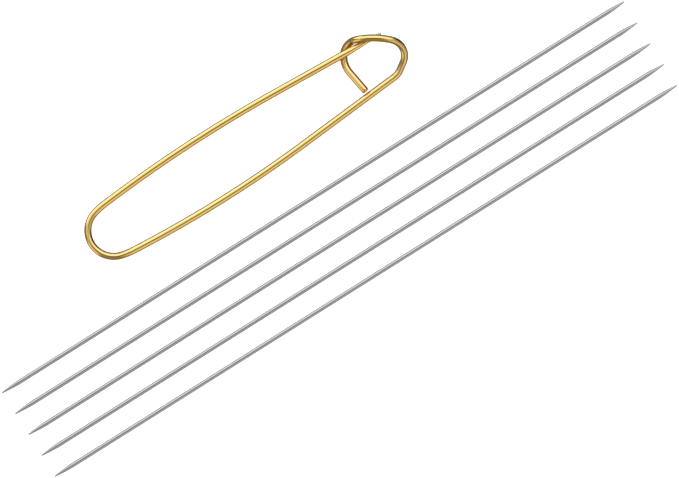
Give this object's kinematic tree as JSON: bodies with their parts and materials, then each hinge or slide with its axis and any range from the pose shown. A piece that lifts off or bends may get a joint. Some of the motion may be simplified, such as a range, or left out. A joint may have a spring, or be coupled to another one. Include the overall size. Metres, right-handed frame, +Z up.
{
  "type": "double-pointed knitting needle set with stitch holder",
  "caption": "Thin steel double-pointed knitting needles lying side by side, with a sprung wire stitch holder whose pin unhooks and swings open.",
  "frame": {"origin": "under the middle of the middle needle, on the table that everything lies on", "axes": "+X along the needles, +Y from the needles towards the holder, +Z up"},
  "size_m": [0.2, 0.0588, 0.007],
  "materials": {
    "needle_steel": "polished, with fine grinding rings round the shaft",
    "holder_wire": "bright brass plating on drawn wire"
  },
  "bodies": {
    "middle_needle": {"needle_3": "needle_steel"},
    "needle_1_loose": {"needle_1": "needle_steel"},
    "needle_2_loose": {"needle_2": "needle_steel"},
    "needle_4_loose": {"needle_4": "needle_steel"},
    "needle_5_loose": {"needle_5": "needle_steel"},
    "holder_frame": {"holder_end_bend": "holder_wire", "holder_back_arm": "holder_wire", "holder_hook": "holder_wire"},
    "pin_root": {"holder_pin_root": "holder_wire"},
    "pin": {"holder_pin": "holder_wire"}
  },
  "joints": [
    {"name": "needle_1_lift", "type": "slide", "parent": "middle_needle", "child": "needle_1_loose", "axis": [0, 0, 1], "range_m": [0, 0.03]},
    {"name": "needle_2_lift", "type": "slide", "parent": "middle_needle", "child": "needle_2_loose", "axis": [0, 0, 1], "range_m": [0, 0.03]},
    {"name": "needle_4_lift", "type": "slide", "parent": "middle_needle", "child": "needle_4_loose", "axis": [0, 0, 1], "range_m": [0, 0.03]},
    {"name": "needle_5_lift", "type": "slide", "parent": "middle_needle", "child": "needle_5_loose", "axis": [0, 0, 1], "range_m": [0, 0.03]},
    {"name": "holder_lift", "type": "slide", "parent": "middle_needle", "child": "holder_frame", "axis": [0, 0, 1], "range_m": [0, 0.03]},
    {"name": "pin_turn", "type": "hinge", "parent": "holder_frame", "child": "pin_root", "pos_m": [-0.03939, 0.04283, 0.00109], "axis": [-0.9993, 0.0194, -0.0331], "range_deg": [0, 175]},
    {"name": "pin_open", "type": "hinge", "parent": "pin_root", "child": "pin", "pos_m": [-0.03939, 0.04283, 0.00109], "axis": [0, 0, -1], "range_deg": [0, 28]}
  ],
  "couplings": [
    {"joint": "pin_turn", "follows": "pin_open", "ratio": 6.25}
  ]
}
